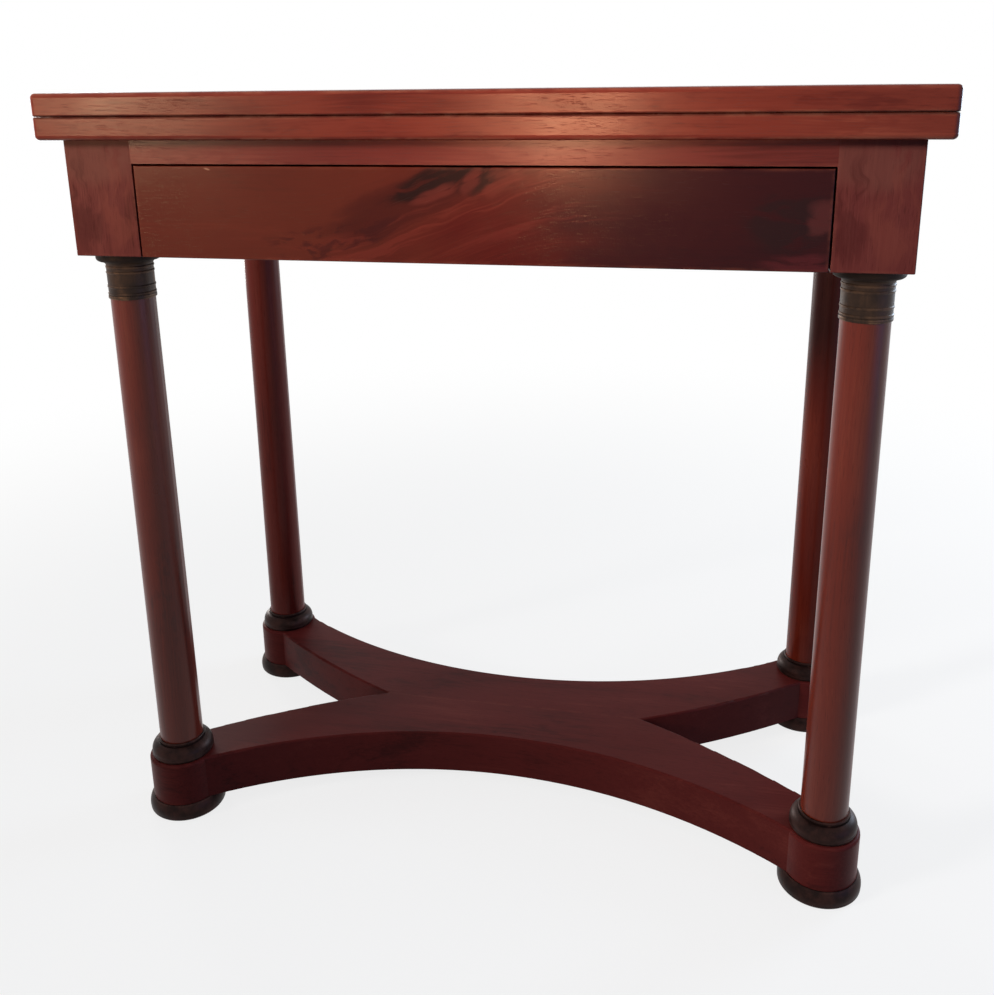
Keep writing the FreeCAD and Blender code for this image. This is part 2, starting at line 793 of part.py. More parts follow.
right_side = drawer_side()
drawer_sides = both_sides([right_side])
drawer_x = (-drawer_half, drawer_half)
front_board = box(drawer_x, (drawer_face, drawer_front_back), (frieze_bottom, drawer_top))
front_board = rounded(front_board, drawer_arris, lambda edge: lies_at(edge, "Y", drawer_face))
back_board = box(drawer_x, (drawer_back_front, drawer_rear), back_z)
nodes["drawer_side_right"] = right_side
nodes["drawer_side_left"] = drawer_sides[1]
nodes["drawer_front"] = front_board.cut(drawer_sides + [drawer_bottom])
nodes["drawer_back"] = back_board.cut(drawer_sides)
nodes["drawer_bottom"] = drawer_bottom

os.makedirs("parts", exist_ok=True)
for name, shape in nodes.items():
    shape.exportStep(os.path.join("parts", name + ".step"))
    state = "valid" if shape.isValid() else "INVALID"
    print(name, len(shape.Solids), "solids", round(shape.Volume), "mm3", state)
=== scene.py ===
"""Looks of a fold-over games table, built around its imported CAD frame.

The solids stay as the frame gives them. This script dresses each of them in a procedural finish, lays
the two baize linings in their recesses, and sets up a plain studio with a camera at the photographed
angle. Lengths are in metres.
"""

import logging
import math
from dataclasses import dataclass, field, replace
from enum import Enum

import bmesh
import bpy
from mathutils import Matrix, Vector

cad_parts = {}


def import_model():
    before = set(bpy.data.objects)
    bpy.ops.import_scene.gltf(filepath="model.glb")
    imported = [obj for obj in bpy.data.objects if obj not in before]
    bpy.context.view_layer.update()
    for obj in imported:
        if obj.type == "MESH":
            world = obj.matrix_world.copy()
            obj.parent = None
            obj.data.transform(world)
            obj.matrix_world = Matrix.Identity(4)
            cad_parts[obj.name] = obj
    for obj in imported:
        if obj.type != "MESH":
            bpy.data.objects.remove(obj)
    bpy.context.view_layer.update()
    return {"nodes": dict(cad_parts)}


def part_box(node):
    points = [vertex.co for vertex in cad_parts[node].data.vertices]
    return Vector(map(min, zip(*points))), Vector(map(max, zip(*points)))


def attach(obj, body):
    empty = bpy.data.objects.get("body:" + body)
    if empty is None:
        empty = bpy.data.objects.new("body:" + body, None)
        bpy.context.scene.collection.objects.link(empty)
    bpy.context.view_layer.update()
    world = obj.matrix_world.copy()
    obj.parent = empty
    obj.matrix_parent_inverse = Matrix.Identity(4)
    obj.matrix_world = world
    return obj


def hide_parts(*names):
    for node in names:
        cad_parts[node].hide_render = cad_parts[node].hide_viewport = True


log = logging.getLogger("games_table")

Pair = tuple[float, float]
Triple = tuple[float, float, float]
Colour = tuple[float, float, float]
Socket = bpy.types.NodeSocket
Feed = Socket | float | tuple[float, ...]

PHOTO_WIDTH = 994
PHOTO_HEIGHT = 995
# Heights that no piece reaches, for a board without a seam and for metal without painted shade
NO_SEAM = -1.0
NO_PAINTED_SHADE = 10.0
# Height on the capitals above which the shade under the frieze is painted on as a darker colour
CAPITAL_PAINTED_SHADE = 0.5935
# How far the pattern of the grain moves from one board to the next
BOARD_STRIDE = (0.731, 0.417, 0.259)
CORNERS = ("front_left", "front_right", "rear_left", "rear_right")
SIDES = ("left", "right")
# What the effect of a finish gives, with the kinds of its sockets
FINISH_VALUES = {"Colour": "Color", "Roughness": "Float", "Height": "Float"}


def srgb(red: int, green: int, blue: int) -> Colour:
    """Linear colour from the three 8-bit values that a screen shows.

    Args:
        red: Red value, 0 to 255.
        green: Green value, 0 to 255.
        blue: Blue value, 0 to 255.

    Returns:
        The linear colour.
    """

    def linear(value: int) -> float:
        """Linear value of one channel."""
        share = value / 255
        return share / 12.92 if share <= 0.04045 else ((share + 0.055) / 1.055) ** 2.4

    return (linear(red), linear(green), linear(blue))


def opaque(colour: Colour) -> tuple[float, float, float, float]:
    """The colour with full alpha, as node sockets take it."""
    return (*colour, 1.0)


class Grain(Enum):
    """The way that the grain of a board runs, as the turn that lays that way on X."""

    ALONG_X = (0.0, 0.0, 0.0)
    ALONG_Y = (0.0, 0.0, -math.pi / 2)
    ALONG_Z = (0.0, math.pi / 2, 0.0)


class Effect(Enum):
    """The shared effects, each a node group that is built once."""

    WOOD = "wood_grain"
    FLAME = "flame_figure"
    ARRIS = "arris_wear"
    METAL = "old_metal"
    FELT = "felted_wool"


class Bench:
    """A node tree with short ways to add its nodes and join them."""

    def __init__(self, tree: bpy.types.NodeTree) -> None:
        """Start work on a tree.

        Args:
            tree: The tree that receives the nodes.
        """
        self.tree = tree

    def add(self, kind: str, **settings: object) -> bpy.types.Node:
        """Add a node.

        Args:
            kind: The node's type name.
            **settings: Properties to set on it.

        Returns:
            The new node.
        """
        node = self.tree.nodes.new(kind)
        for name, value in settings.items():
            setattr(node, name, value)
        return node

    def feed(self, socket: Socket, value: Feed) -> None:
        """Join a socket to another one, or give it a plain value.

        Args:
            socket: The socket that takes the value.
            value: The other socket, or the plain value.
        """
        if isinstance(value, bpy.types.NodeSocket):
            self.tree.links.new(value, socket)
        else:
            socket.default_value = value

    def maths(self, operation: str, *values: Feed) -> Socket:
        """Result of a sum.

        Args:
            operation: The Math node's operation.
            *values: Its inputs in order.

        Returns:
            The result.
        """
        node = self.add("ShaderNodeMath", operation=operation)
        for socket, value in zip(node.inputs, values):
            self.feed(socket, value)
        return node.outputs[0]

    def plus(self, base: Feed, value: Feed, share: Feed) -> Socket:
        """A base with a share of a value added to it."""
        return self.maths("MULTIPLY_ADD", value, share, base)

    def about(self, value: Feed) -> Socket:
        """Value of a noise counted from its middle."""
        return self.maths("SUBTRACT", value, 0.5)

    def vector(self, operation: str, *values: Feed) -> Socket:
        """Result of a sum of vectors.

        Args:
            operation: The Vector Math node's operation.
            *values: Its inputs in order.

        Returns:
            The result: a number for LENGTH, or else a vector.
        """
        node = self.add("ShaderNodeVectorMath", operation=operation)
        for socket, value in zip(node.inputs, values):
            self.feed(socket, value)
        return node.outputs["Value" if operation == "LENGTH" else "Vector"]

    def drift(self, sway: Socket, reach: Triple) -> Socket:
        """Push that a coloured noise gives, up to half the reach either way."""
        return self.vector("MULTIPLY", self.vector("SUBTRACT", sway, (0.5, 0.5, 0.5)), reach)

    def parts(self, place: Feed) -> tuple[Socket, ...]:
        """The coordinates of a vector.

        Args:
            place: The vector.

        Returns:
            Its x, y and z.
        """
        node = self.add("ShaderNodeSeparateXYZ")
        self.feed(node.inputs[0], place)
        return tuple(node.outputs)

    def noise(self, place: Feed, stretch: Triple, detail: float = 2.0, roughness: float = 0.5,
              distortion: float = 0.0) -> bpy.types.Node:
        """Noise texture.

        Args:
            place: The coordinates.
            stretch: Features per metre along each axis.
            detail: How many finer octaves it has.
            roughness: How strong the finer octaves are.
            distortion: How much it swirls.

        Returns:
            The texture node, with a value first and a colour second.
        """
        node = self.add("ShaderNodeTexNoise")
        self.feed(node.inputs["Vector"], self.vector("MULTIPLY", place, stretch))
        node.inputs["Scale"].default_value = 1.0
        node.inputs["Detail"].default_value = detail
        node.inputs["Roughness"].default_value = roughness
        node.inputs["Distortion"].default_value = distortion
        return node

    def span(self, value: Feed, low: Feed, high: Feed, start: Feed = 0.0, end: Feed = 1.0) -> Socket:
        """Smooth step of a value from one range to another.

        Args:
            value: The value.
            low: Where the step begins.
            high: Where it ends.
            start: The result at low.
            end: The result at high.

        Returns:
            The stepped value.
        """
        node = self.add("ShaderNodeMapRange", interpolation_type="SMOOTHSTEP")
        for socket, given in zip(node.inputs, (value, low, high, start, end)):
            self.feed(socket, given)
        return node.outputs[0]

    def mix(self, share: Feed, first: Feed, second: Feed) -> Socket:
        """Mixed colour.

        Args:
            share: How much of the second colour.
            first: The first colour.
            second: The second colour.

        Returns:
            The colour.
        """
        node = self.add("ShaderNodeMix", data_type="RGBA")
        self.feed(node.inputs[0], share)
        self.feed(node.inputs[6], first)
        self.feed(node.inputs[7], second)
        return node.outputs[2]

    def group(self, effect: Effect, **inputs: Feed) -> bpy.types.Node:
        """Place a shared effect.

        Args:
            effect: The effect.
            **inputs: Its inputs by name.

        Returns:
            The group node.
        """
        node = self.add("ShaderNodeGroup", node_tree=bpy.data.node_groups[effect.value])
        for name, value in inputs.items():
            self.feed(node.inputs[name], value)
        return node


class EffectGroup:
    """A shader node group with named inputs and outputs."""

    def __init__(self, effect: Effect, inputs: dict[str, str], outputs: dict[str, str]) -> None:
        """Make the empty group.

        Args:
            effect: The effect that it holds.
            inputs: Socket type of each input by name.
            outputs: Socket type of each output by name.
        """
        tree = bpy.data.node_groups.new(effect.value, "ShaderNodeTree")
        for name, kind in inputs.items():
            tree.interface.new_socket(name, in_out="INPUT", socket_type="NodeSocket" + kind)
        for name, kind in outputs.items():
            tree.interface.new_socket(name, in_out="OUTPUT", socket_type="NodeSocket" + kind)
        self.bench = Bench(tree)
        self.given = self.bench.add("NodeGroupInput").outputs
        self.result = self.bench.add("NodeGroupOutput").inputs

    def give(self, **values: Feed) -> None:
        """Send values out of the group by name."""
        for name, value in values.items():
            self.bench.feed(self.result[name], value)


# In the effects, a triple is a noise's features per metre along each axis, or how far a drift reaches.
# A pair is where a step begins and ends.


@dataclass(frozen=True)
class WoodGrain:
    """Polished wood whose grain runs along X: stripes, fibres, broad figure, mottle and pores."""

    sway: Triple = (4.0, 16.0, 16.0)
    drift: Triple = (0.0, 0.016, 0.016)
    broad: Triple = (4.5, 13.0, 13.0)
    stripe: Triple = (1.6, 75.0, 75.0)
    fibre: Triple = (16.0, 520.0, 520.0)
    fibre_share: float = 0.45
    fibre_height: float = 0.25
    dapple: Triple = (34.0, 105.0, 105.0)
    dapple_step: Pair = (0.48, 0.66)
    spread: Triple = (9.0, 14.0, 14.0)
    spread_step: Pair = (0.42, 0.62)
    mid_tone: float = 0.5
    mid_step: Pair = (0.12, 0.50)
    light_step: Pair = (0.50, 0.88)
    fleck: Triple = (75.0, 1500.0, 1500.0)
    pore_step: Pair = (0.58, 0.72)
    pore_colour: Colour = (0.004, 0.001, 0.001)
    pore_darkness: float = 0.55
    pore_roughness: float = 0.18
    pore_height: float = -1.0
    smear: Triple = (14.0, 22.0, 22.0)
    smear_roughness: float = 0.14

    def build(self) -> None:
        """Build the effect's node group."""
        colours = {name: "Color" for name in ("Dark", "Mid", "Light")}
        amounts = {name: "Float" for name in ("Figure", "Stripe", "Mottle", "Pores", "Polish")}
        group = EffectGroup(Effect.WOOD, {"Vector": "Vector", **colours, **amounts}, FINISH_VALUES)
        bench, given = group.bench, group.given
        place = given["Vector"]
        sway = bench.noise(place, self.sway, detail=1.0).outputs["Color"]
        lines = bench.vector("ADD", place, bench.drift(sway, self.drift))
        broad = bench.noise(place, self.broad, detail=2.0, distortion=0.5).outputs[0]
        stripe = bench.noise(lines, self.stripe, detail=4.0, roughness=0.6).outputs[0]
        fibre = bench.noise(lines, self.fibre, detail=3.0).outputs[0]
        dapple = bench.noise(lines, self.dapple, detail=2.0, distortion=0.9).outputs[0]
        spread = bench.noise(place, self.spread, detail=1.0).outputs[0]
        tone = bench.plus(self.mid_tone, bench.about(broad), given["Figure"])
        tone = bench.plus(tone, bench.about(stripe), given["Stripe"])
        tone = bench.plus(tone, bench.about(fibre), self.fibre_share)
        spots = bench.span(dapple, *self.dapple_step)
        shade = bench.maths("MULTIPLY", spots, bench.span(spread, *self.spread_step))
        tone = bench.maths("SUBTRACT", tone, bench.maths("MULTIPLY", shade, given["Mottle"]))
        colour = bench.mix(bench.span(tone, *self.mid_step), given["Dark"], given["Mid"])
        colour = bench.mix(bench.span(tone, *self.light_step), colour, given["Light"])
        fleck = bench.noise(lines, self.fleck, detail=1.0).outputs[0]
        pore = bench.maths("MULTIPLY", bench.span(fleck, *self.pore_step), given["Pores"])
        deep = bench.mix(self.pore_darkness, colour, opaque(self.pore_colour))
        colour = bench.mix(pore, colour, deep)
        smear = bench.noise(place, self.smear, detail=3.0).outputs[0]
        rough = bench.plus(given["Polish"], bench.about(smear), self.smear_roughness)
        rough = bench.plus(rough, pore, self.pore_roughness)
        height = bench.plus(bench.maths("MULTIPLY", fibre, self.fibre_height), pore, self.pore_height)
        group.give(Colour=colour, Roughness=rough, Height=height)


@dataclass(frozen=True)
class FlameFigure:
    """One streaked patch of figure: where it lies, how far it reaches and how its streaks run."""

    sway: Triple = (26.0, 1.0, 40.0)
    drift: Triple = (0.030, 0.0, 0.014)
    streak: Triple = (1.0, 1.0, 1.0)
    streak_softness: float = 0.06
    ragged_reach: float = -0.9
    edge_step: Pair = (1.15, 0.55)

    def build(self) -> None:
        """Build the effect's node group."""
        places = {name: "Vector" for name in ("Vector", "Centre", "Reach", "Streaks")}
        group = EffectGroup(Effect.FLAME, {**places, "Cover": "Float"}, {"Patch": "Float"})
        bench, given = group.bench, group.given
        local = bench.vector("SUBTRACT", given["Vector"], given["Centre"])
        sway = bench.noise(given["Vector"], self.sway, detail=2.0).outputs["Color"]
        flow = bench.vector("ADD", local, bench.drift(sway, self.drift))
        inside = bench.vector("LENGTH", bench.vector("DIVIDE", flow, given["Reach"]))
        strokes = bench.vector("MULTIPLY", flow, given["Streaks"])
        streak = bench.noise(strokes, self.streak, detail=4.0, roughness=0.55, distortion=0.3)
        ragged = streak.outputs[0]
        limit = bench.maths("SUBTRACT", 1.0, given["Cover"])
        lowest = bench.maths("SUBTRACT", limit, self.streak_softness)
        highest = bench.maths("ADD", limit, self.streak_softness)
        shown = bench.span(ragged, lowest, highest)
        edge = bench.plus(inside, bench.about(ragged), self.ragged_reach)
        group.give(Patch=bench.maths("MULTIPLY", shown, bench.span(edge, *self.edge_step)))


@dataclass(frozen=True)
class ArrisWear:
    """Broken wear along the arrises of a box-shaped piece, and painted shade on those that meet a
    seam.
    """

    breaks: Triple = (38.0, 38.0, 120.0)
    breaks_step: Pair = (0.36, 0.68)
    seam_shade_step: Pair = (0.0026, 0.0010)

    def build(self) -> None:
        """Build the effect's node group."""
        places = {name: "Vector" for name in ("Vector", "Centre", "Half")}
        group = EffectGroup(
            Effect.ARRIS,
            {**places, "Width": "Float", "Seam": "Float"},
            {"Wear": "Float", "Wax": "Float"},
        )
        bench, given = group.bench, group.given
        reach = bench.vector("ABSOLUTE", bench.vector("SUBTRACT", given["Vector"], given["Centre"]))
        depth = bench.vector("ABSOLUTE", bench.vector("SUBTRACT", given["Half"], reach))
        # An arris lies where the second smallest of the three depths under the faces is near 0
        x, y, z = bench.parts(depth)
        least = bench.maths("MINIMUM", bench.maths("MINIMUM", x, y), z)
        most = bench.maths("MAXIMUM", bench.maths("MAXIMUM", x, y), z)
        total = bench.maths("ADD", bench.maths("ADD", x, y), z)
        middle = bench.maths("SUBTRACT", total, bench.maths("ADD", least, most))
        near = bench.span(middle, given["Width"], 0.0)
        broken = bench.noise(given["Vector"], self.breaks, detail=4.0, roughness=0.65).outputs[0]
        wear = bench.maths("MULTIPLY", near, bench.span(broken, *self.breaks_step))
        # Painted shade: arrises close to the seam's height darken, for the shade in the groove between
        # the leaves
        level = bench.parts(given["Vector"])[2]
        apart = bench.maths("ABSOLUTE", bench.maths("SUBTRACT", level, given["Seam"]))
        seam_shade = bench.maths("MULTIPLY", near, bench.span(apart, *self.seam_shade_step))
        group.give(Wear=wear, Wax=seam_shade)


@dataclass(frozen=True)
class OldMetal:
    """Old cast metal: patina in the hollows, bare metal where it is rubbed, painted shade above a
    height.
    """

    cloud: Triple = (60.0, 60.0, 60.0)
    cloud_roughness: float = 0.4
    speck: Triple = (700.0, 700.0, 700.0)
    speck_height: float = 0.5
    body_step: Pair = (0.34, 0.66)
    hollow_step: Pair = (0.50, 0.45)
    raised_step: Pair = (0.50, 0.56)
    rubbed_step: Pair = (0.35, 0.60)
    rubbed_share: float = 0.8
    rubbed_roughness: float = -0.10
    painted_shade_colour: Colour = (0.002, 0.001, 0.001)
    painted_shade_darkness: float = 0.6
    painted_shade_fade: float = 0.007
    painted_shade_share: float = 0.9
    painted_shade_roughness: float = 0.25

    def build(self) -> None:
        """Build the effect's node group."""
        colours = {name: "Color" for name in ("Patina", "Body", "Bare")}
        amounts = {name: "Float" for name in ("Polish", "Rub", "Grime")}
        group = EffectGroup(Effect.METAL, {"Vector": "Vector", **colours, **amounts}, FINISH_VALUES)
        bench, given = group.bench, group.given
        place = given["Vector"]
        cloud = bench.noise(place, self.cloud, detail=5.0, roughness=0.6).outputs[0]
        speck = bench.noise(place, self.speck, detail=2.0).outputs[0]
        point = bench.add("ShaderNodeNewGeometry").outputs["Pointiness"]
        raised = bench.maths("MULTIPLY", bench.span(point, *self.raised_step), given["Rub"])
        rubbed = bench.maths("MULTIPLY", raised, bench.span(cloud, *self.rubbed_step))
        hollow = bench.maths("MULTIPLY", bench.span(point, *self.hollow_step), given["Rub"])
        colour = bench.mix(bench.span(cloud, *self.body_step), given["Patina"], given["Body"])
        colour = bench.mix(hollow, colour, given["Patina"])
        colour = bench.mix(bench.maths("MULTIPLY", rubbed, self.rubbed_share), colour, given["Bare"])
        # Painted shade: above the given height the colour darkens towards near-black and grows
        # rougher, standing in for the shadow under the frieze
        over = bench.maths("SUBTRACT", bench.parts(place)[2], given["Grime"])
        painted_shade = bench.span(over, 0.0, self.painted_shade_fade, 0.0, self.painted_shade_share)
        shaded_patina = bench.mix(self.painted_shade_darkness, given["Patina"], opaque(self.painted_shade_colour))
        colour = bench.mix(painted_shade, colour, shaded_patina)
        rough = bench.plus(given["Polish"], bench.about(cloud), self.cloud_roughness)
        rough = bench.plus(rough, painted_shade, self.painted_shade_roughness)
        rough = bench.plus(rough, rubbed, self.rubbed_roughness)
        height = bench.plus(cloud, speck, self.speck_height)
        group.give(Colour=colour, Roughness=rough, Height=height)


@dataclass(frozen=True)
class FeltedWool:
    """Felted wool: matted fibres, a nap that lies one way and soft wear."""

    mat: Triple = (1500.0, 1500.0, 400.0)
    mat_share: float = 0.6
    nap: Triple = (320.0, 520.0, 320.0)
    nap_share: float = 0.4
    nap_step: Pair = (0.3, 0.7)
    wear: Triple = (5.0, 6.0, 5.0)
    wear_share: float = 0.5
    tip_step: Pair = (0.30, 0.70)
    least_roughness: float = 0.86
    most_roughness: float = 0.98

    def build(self) -> None:
        """Build the effect's node group."""
        colours = {name: "Color" for name in ("Shade", "Tip")}
        group = EffectGroup(Effect.FELT, {"Vector": "Vector", **colours}, FINISH_VALUES)
        bench, given = group.bench, group.given
        place = given["Vector"]
        mat = bench.noise(place, self.mat, detail=3.0, distortion=1.2).outputs[0]
        nap = bench.noise(place, self.nap, detail=3.0).outputs[0]
        worn = bench.noise(place, self.wear, detail=3.0).outputs[0]
        tone = bench.plus(bench.maths("MULTIPLY", nap, self.nap_share), mat, self.mat_share)
        tone = bench.plus(tone, bench.about(worn), self.wear_share)
        colour = bench.mix(bench.span(tone, *self.tip_step), given["Shade"], given["Tip"])
        rough = bench.span(nap, *self.nap_step, self.least_roughness, self.most_roughness)
        group.give(Colour=colour, Roughness=rough, Height=tone)


class Surface:
    """A new material with a Principled BSDF, and short ways to feed it."""

    def __init__(self, name: str) -> None:
        """Make the material.

        Args:
            name: Its name.
        """
        self.material = bpy.data.materials.new(name)
        self.material.use_nodes = True
        self.bench = Bench(self.material.node_tree)
        self.shader = self.material.node_tree.nodes["Principled BSDF"]
        self.place = self.bench.add("ShaderNodeTexCoord").outputs["Object"]

    def mapped(self, place: Socket, offset: Triple, grain: Grain) -> Socket:
        """Coordinates with the grain laid on X and the pattern moved along.

        Args:
            place: The coordinates.
            offset: How far the pattern is moved.
            grain: The way that the grain runs.

        Returns:
            The turned coordinates.
        """
        node = self.bench.add("ShaderNodeMapping")
        self.bench.feed(node.inputs["Vector"], place)
        node.inputs["Rotation"].default_value = grain.value
        node.inputs["Location"].default_value = offset
        return node.outputs[0]

    def set(self, **values: Feed) -> None:
        """Give the shader's sockets their values; underscores stand for spaces."""
        for name, value in values.items():
            self.bench.feed(self.shader.inputs[name.replace("_", " ")], value)

    def relief(self, height: Feed, depth: float, strength: float) -> None:
        """Raise the surface by a height map.

        Args:
            height: The height, about 0 to 1.
            depth: What 1 stands for.
            strength: How strongly it shades.
        """
        node = self.bench.add("ShaderNodeBump")
        node.inputs["Strength"].default_value = strength
        node.inputs["Distance"].default_value = depth
        self.bench.feed(node.inputs["Height"], height)
        self.set(Normal=node.outputs[0])


@dataclass(frozen=True)
class Patch:
    """One patch of a board's figure or tone.

    Attributes:
        along: Its place from the middle of the board along X.
        up: Its place from the middle of the board along Z.
        length: How far it reaches along X.
        height: How far it reaches along Z.
        colour: Its colour.
        share: How much of that colour shows.
        streaks: Streaks per metre along X and along Z.
        cover: How much of the patch its streaks fill, 0 to 1.
    """

    along: float
    up: float
    length: float
    height: float
    colour: Colour
    share: float
    streaks: Pair
    cover: float


@dataclass(frozen=True)
class WoodFinish:
    """Polished or plain wood. Each board gets its own stretch of grain."""

    name: str
    dark: Colour
    mid: Colour
    light: Colour
    worn: Colour
    figure: float = 1.0
    stripe: float = 0.5
    mottle: float = 0.12
    pores: float = 0.5
    polish: float = 0.36
    gloss: float = 0.10
    relief: float = 0.15
    relief_depth: float = 0.0002
    wear_width: float = 0.0035
    wear_share: float = 0.3
    wear_roughness: float = 0.12
    seam_shade_share: float = 0.72
    seam_shade_colour: Colour = (0.012, 0.003, 0.002)
    patches: tuple[Patch, ...] = ()

    def flow(self, made: Surface, node: str) -> Socket:
        """Coordinates that the grain follows: here straight along the board."""
        return made.place

    def figured(self, made: Surface, node: str, colour: Socket) -> Socket:
        """Colour with the finish's patches laid over it.

        Args:
            made: The surface that is made.
            node: The CAD node that is dressed.
            colour: The colour of the plain grain.

        Returns:
            The colour with its patches.
        """
        bench = made.bench
        low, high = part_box(node)
        middle = (low + high) / 2
        flow = self.flow(made, node)
        for patch in self.patches:
            flame = bench.group(
                Effect.FLAME,
                Vector=flow,
                Centre=(middle.x + patch.along, low.y, middle.z + patch.up),
                Reach=(patch.length, 1.0, patch.height),
                Streaks=(patch.streaks[0], 1.0, patch.streaks[1]),
                Cover=patch.cover,
            )
            share = bench.maths("MULTIPLY", flame.outputs["Patch"], patch.share)
            colour = bench.mix(share, colour, opaque(patch.colour))
        return colour

    def material(
        self, node: str, grain: Grain, board: int, seam: float = NO_SEAM
    ) -> bpy.types.Material:
        """Finished material of one board.

        Args:
            node: The CAD node that is dressed.
            grain: The way that its grain runs.
            board: A number that picks its stretch of grain.
            seam: The height of a seam whose arrises are darkened with painted shade.

        Returns:
            The material.
        """
        made = Surface(f"{self.name}_{node}")
        bench = made.bench
        offset = tuple(stride * board for stride in BOARD_STRIDE)
        wood = bench.group(
            Effect.WOOD,
            Vector=made.mapped(self.flow(made, node), offset, grain),
            Dark=opaque(self.dark),
            Mid=opaque(self.mid),
            Light=opaque(self.light),
            Figure=self.figure,
            Stripe=self.stripe,
            Mottle=self.mottle,
            Pores=self.pores,
            Polish=self.polish,
        )
        low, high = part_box(node)
        arris = bench.group(
            Effect.ARRIS,
            Vector=made.place,
            Centre=tuple((low + high) / 2),
            Half=tuple((high - low) / 2),
            Width=self.wear_width,
            Seam=seam,
        )
        wear = bench.maths("MULTIPLY", arris.outputs["Wear"], self.wear_share)
        colour = self.figured(made, node, wood.outputs["Colour"])
        colour = bench.mix(wear, colour, opaque(self.worn))
        # Painted shade in the groove at the seam
        seam_shade = bench.maths("MULTIPLY", arris.outputs["Wax"], self.seam_shade_share)
        colour = bench.mix(seam_shade, colour, opaque(self.seam_shade_colour))
        rough = bench.plus(wood.outputs["Roughness"], wear, self.wear_roughness)
        made.relief(wood.outputs["Height"], self.relief_depth, self.relief)
        made.set(Base_Color=colour, Roughness=rough, Specular_IOR_Level=self.gloss)
        return made.material


@dataclass(frozen=True)
class SweptVeneer(WoodFinish):
    """Crotch veneer, whose grain sweeps upwards along the face."""

    sweep_start: float = -0.15
    sweep_end: float = 0.11
    sweep_rise: float = 0.070

    def flow(self, made: Surface, node: str) -> Socket:
        """Coordinates that follow the sweep of the grain.

        Args:
            made: The surface that is made.
            node: The CAD node that is dressed.

        Returns:
            The bent coordinates.
        """
        bench = made.bench
        low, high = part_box(node)
        middle = (low.x + high.x) / 2
        along, depth, up = bench.parts(made.place)
        start, end = middle + self.sweep_start, middle + self.sweep_end
        rise = bench.span(along, start, end, 0.0, self.sweep_rise)
        bent = bench.add("ShaderNodeCombineXYZ")
        for socket, value in zip(bent.inputs, (along, depth, bench.maths("SUBTRACT", up, rise))):
            bench.feed(socket, value)
        return bent.outputs[0]


@dataclass(frozen=True)
class MetalFinish:
    """Old metal with a patina."""

    name: str
    patina: Colour
    body: Colour
    bare: Colour
    polish: float
    metallic: float
    gloss: float
    rub: float = 0.0
    painted_shade_height: float = NO_PAINTED_SHADE
    relief: float = 0.25
    relief_depth: float = 0.0003

    def material(self) -> bpy.types.Material:
        """Finished material of the castings or fittings.

        Returns:
            The material.
        """
        made = Surface(self.name)
        metal = made.bench.group(
            Effect.METAL,
            Vector=made.place,
            Patina=opaque(self.patina),
            Body=opaque(self.body),
            Bare=opaque(self.bare),
            Polish=self.polish,
            Rub=self.rub,
            Grime=self.painted_shade_height,
        )
        made.relief(metal.outputs["Height"], self.relief_depth, self.relief)
        made.set(Base_Color=metal.outputs["Colour"], Roughness=metal.outputs["Roughness"])
        made.set(Metallic=self.metallic, Specular_IOR_Level=self.gloss)
        return made.material


@dataclass(frozen=True)
class FeltFinish:
    """Felted wool cloth."""

    name: str
    shade: Colour
    tip: Colour
    sheen: float = 0.25
    gloss: float = 0.1
    relief: float = 0.6
    relief_depth: float = 0.0006

    def material(self) -> bpy.types.Material:
        """Finished material of the cloth.

        Returns:
            The material.
        """
        made = Surface(self.name)
        felt = made.bench.group(
            Effect.FELT, Vector=made.place, Shade=opaque(self.shade), Tip=opaque(self.tip)
        )
        made.relief(felt.outputs["Height"], self.relief_depth, self.relief)
        made.set(
            Base_Color=felt.outputs["Colour"],
            Roughness=felt.outputs["Roughness"],
            Specular_IOR_Level=self.gloss,
            Sheen_Weight=self.sheen,
        )
        return made.material


TOP_MAHOGANY = WoodFinish(
    "top_mahogany",
    dark=srgb(86, 27, 20),
    mid=srgb(114, 45, 33),
    light=srgb(136, 64, 47),
    # On the leaves the light colour of the worn arrises is partly wear and partly a painted highlight,
    # for the warm glint on their rounded upper edges
    worn=srgb(166, 104, 80),
    figure=1.2,
    gloss=0.12,
    polish=0.24,
    wear_share=0.5,
)
FRIEZE_MAHOGANY = WoodFinish(
    "frieze_mahogany",
    dark=srgb(76, 27, 23),
    mid=srgb(105, 42, 36),
    light=srgb(125, 60, 50),
    worn=srgb(136, 76, 62),
    mottle=0.14,
    gloss=0.11,
    polish=0.23,
)
POST_MAHOGANY = replace(
    FRIEZE_MAHOGANY,
    name="post_mahogany",
    dark=srgb(64, 26, 22),
    mid=srgb(98, 45, 42),
    light=srgb(116, 60, 54),
    stripe=0.30,
    mottle=0.10,
    gloss=0.05,
    polish=0.34,
    patches=(
        # A lighter, greyer painted sheen at the top, a lighter cloud and a darker one
        Patch(-0.004, 0.036, 0.045, 0.024, srgb(114, 70, 60), 0.40, (30.0, 12.0), 0.60),
        Patch(0.012, -0.006, 0.018, 0.045, srgb(122, 62, 52), 0.38, (60.0, 14.0), 0.52),
        Patch(-0.018, -0.002, 0.016, 0.044, srgb(60, 22, 22), 0.45, (60.0, 14.0), 0.52),
    ),
)
COLUMN_MAHOGANY = WoodFinish(
    "column_mahogany",
    dark=srgb(65, 15, 6),
    mid=srgb(93, 27, 12),
    light=srgb(108, 41, 24),
    worn=srgb(124, 62, 42),
    wear_share=0.0,
    gloss=0.28,
    polish=0.30,
)
# A darker copy of the column wood for the rear columns: painted shade for the less light they get
REAR_SHADED_MAHOGANY = replace(
    COLUMN_MAHOGANY,
    name="rear_shaded_mahogany",
    dark=srgb(57, 13, 6),
    mid=srgb(81, 22, 12),
    light=srgb(94, 34, 22),
    gloss=0.12,
)
